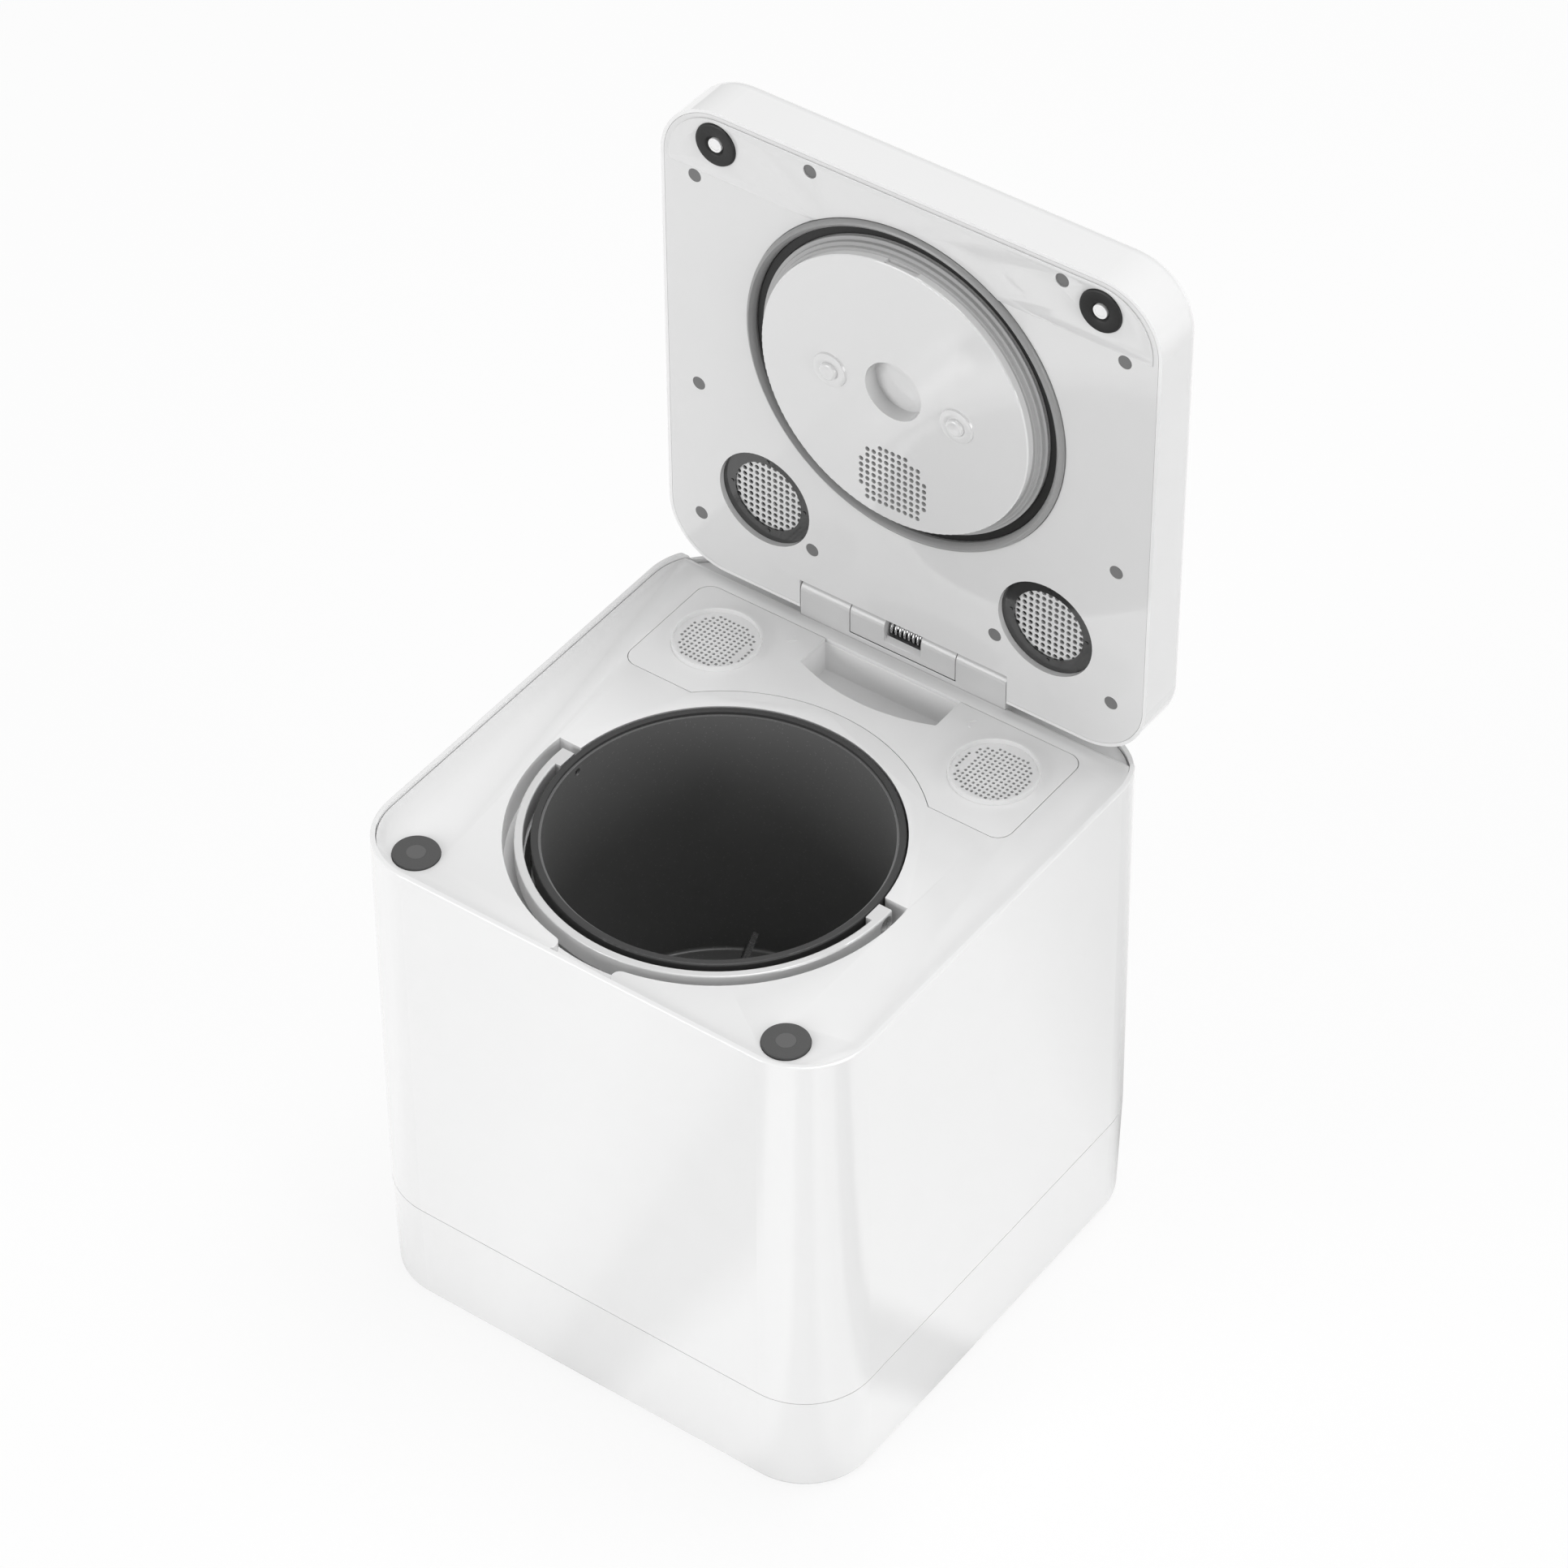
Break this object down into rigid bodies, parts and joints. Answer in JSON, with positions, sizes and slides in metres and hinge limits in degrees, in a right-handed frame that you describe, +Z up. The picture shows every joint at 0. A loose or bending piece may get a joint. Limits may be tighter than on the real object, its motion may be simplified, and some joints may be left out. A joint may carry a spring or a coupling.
{
  "type": "electric kitchen composter",
  "caption": "Free-standing kitchen composter: square white body with a round lift-out bucket, bail, filter cover and a rear-hinged lid.",
  "frame": {"origin": "on the floor, below the middle of the whole part's box with the lid open", "axes": "+Z up, -Y towards the user at the front, +X to the user's right"},
  "size_m": [0.2828, 0.2968, 0.5694],
  "materials": {
    "white_gloss": "glossy moulded",
    "deck_white": "fine satin moulded",
    "lid_white": "glossy moulded",
    "charcoal": "satin",
    "pad_grey": "matt",
    "pad_core": "matt",
    "black_rubber": "soft sheen",
    "white_core": "gloss",
    "lip_silicone": "translucent soft",
    "smoked_gloss": "glossy smoked",
    "plug_grey": "matt",
    "bail_silver": "satin",
    "bucket_grey": "hard coated satin",
    "holed_sheet": "satin",
    "well_metal": "drawn satin",
    "steel": "brushed",
    "spring_steel": "bright",
    "zinc_plate": "zinc coated",
    "black_plastic": "satin",
    "gear_plastic": "satin",
    "insulation_felt": "felt",
    "board_green": "lacquered",
    "brass_pin": "plated",
    "carbon": "matt",
    "post_plastic": "satin"
  },
  "bodies": {
    "root": {"outer_shell": "white_gloss", "base_tray": "white_gloss", "rubber_feet": "black_rubber", "chassis_plate": "zinc_plate", "case_screws": "steel", "deck_panel": "deck_white", "strike_pads": "pad_grey", "strike_cores": "pad_core", "filter_box": "deck_white", "air_duct": "black_plastic", "fan_housing": "black_plastic", "fan_motor": "steel", "rear_vent": "white_gloss", "heating_well": "well_metal", "well_collar": "black_plastic", "well_insulation": "insulation_felt", "heater_plate": "well_metal", "thermal_sensor": "steel", "chassis_posts": "post_plastic", "gearbox_housing": "black_plastic", "gearbox_cover": "black_plastic", "shaft_bearing": "steel", "drive_motor": "steel", "control_board": "board_green", "board_parts": "black_plastic", "power_inlet": "black_plastic", "inlet_pins": "brass_pin", "hinge_bracket": "lid_white", "hinge_pin": "spring_steel"},
    "lid": {"hinge_knuckle": "lid_white", "hinge_spring": "spring_steel", "lid_shell": "lid_white", "lid_inner_panel": "lid_white", "lid_front_band": "lid_white", "lid_bumpers": "black_rubber", "bumper_cores": "white_core", "inner_disc": "lid_white", "disc_knobs": "lid_white", "lid_seal": "black_rubber", "seal_lip": "lip_silicone", "port_rings": "smoked_gloss", "port_grilles": "holed_sheet", "screw_plugs": "plug_grey", "lid_air_duct": "post_plastic", "button_housing": "black_plastic"},
    "button": {"start_button": "lid_white"},
    "bucket": {"bucket": "bucket_grey", "bucket_rim": "charcoal", "bail_pins": "steel", "stirrer_bush": "charcoal"},
    "bail": {"bail_handle": "bail_silver"},
    "stirrer": {"stirrer": "steel", "stirrer_coupling": "steel"},
    "output": {"output_gear": "gear_plastic", "output_shaft": "steel"},
    "idler": {"idler_gear": "gear_plastic"},
    "pinion": {"motor_pinion": "steel"},
    "filter_cover": {"filter_cover": "deck_white", "carbon_filters": "carbon"},
    "fan": {"fan_rotor": "black_plastic"}
  },
  "joints": [
    {"name": "lid_hinge", "type": "hinge", "parent": "root", "child": "lid", "pos_m": [0, 0.12445, 0.299], "axis": [-1, 0, 0], "range_deg": [-90, 0]},
    {"name": "button_press", "type": "slide", "parent": "lid", "child": "button", "axis": [0, -1, 0], "range_m": [0, 0.0015], "stiffness_N_per_m": 400},
    {"name": "bucket_lift", "type": "slide", "parent": "root", "child": "bucket", "axis": [0, 0, 1], "range_m": [0, 0.19]},
    {"name": "bail_swing", "type": "hinge", "parent": "bucket", "child": "bail", "pos_m": [0, -0.03445, 0.2809], "axis": [-1, 0, 0], "range_deg": [0, 90]},
    {"name": "output_spin", "type": "hinge", "parent": "root", "child": "output", "pos_m": [0, -0.03445, 0.1], "axis": [0, 0, 1], "continuous": true},
    {"name": "stirrer_spin", "type": "hinge", "parent": "bucket", "child": "stirrer", "pos_m": [0, -0.03445, 0.14], "axis": [0, 0, 1], "continuous": true},
    {"name": "idler_spin", "type": "hinge", "parent": "root", "child": "idler", "pos_m": [0.042, -0.03445, 0.08], "axis": [0, 0, 1], "continuous": true},
    {"name": "pinion_spin", "type": "hinge", "parent": "root", "child": "pinion", "pos_m": [0.078, -0.03445, 0.075], "axis": [0, 0, 1], "continuous": true},
    {"name": "cover_lift", "type": "slide", "parent": "root", "child": "filter_cover", "axis": [0, 0, 1], "range_m": [0, 0.07]},
    {"name": "fan_spin", "type": "hinge", "parent": "root", "child": "fan", "pos_m": [0, 0.10835, 0.172], "axis": [0, 1, 0], "continuous": true}
  ],
  "couplings": [
    {"joint": "stirrer_spin", "follows": "output_spin", "ratio": 1},
    {"joint": "idler_spin", "follows": "output_spin", "ratio": -3.6667},
    {"joint": "pinion_spin", "follows": "output_spin", "ratio": 11}
  ]
}
